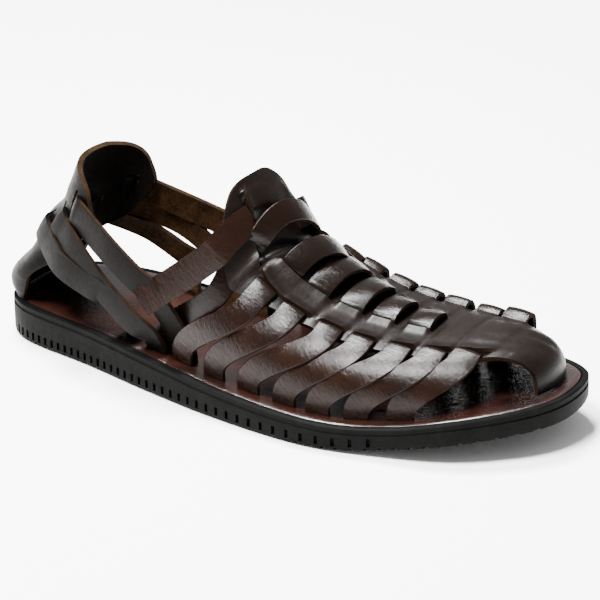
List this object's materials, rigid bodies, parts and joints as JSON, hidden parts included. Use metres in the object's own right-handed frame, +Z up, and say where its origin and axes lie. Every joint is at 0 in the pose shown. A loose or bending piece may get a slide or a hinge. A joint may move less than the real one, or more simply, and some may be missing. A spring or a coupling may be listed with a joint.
{
  "type": "woven leather sandal",
  "caption": "Closed-toe sandal for the right foot, with leather straps woven through a long tongue, a slack heel counter and a rubber sole.",
  "frame": {"origin": "on the floor, on the flat of the sole's underside at half its length", "axes": "+X to the toe along the sole, +Y to the inner side of the foot, +Z up"},
  "size_m": [0.2742, 0.1005, 0.094],
  "materials": {
    "black_rubber": "matt black moulded rubber",
    "insole_leather": "glossy dark red-brown leather",
    "brown_leather": "dark brown aniline leather, half gloss",
    "counter_leather": "dark brown leather, soft sheen"
  },
  "bodies": {
    "root": {"outsole": "black_rubber", "insole": "insole_leather", "upper": "brown_leather", "heel_counter": "counter_leather", "heel_straps_outer": "brown_leather", "heel_straps_inner": "brown_leather"}
  },
  "joints": []
}
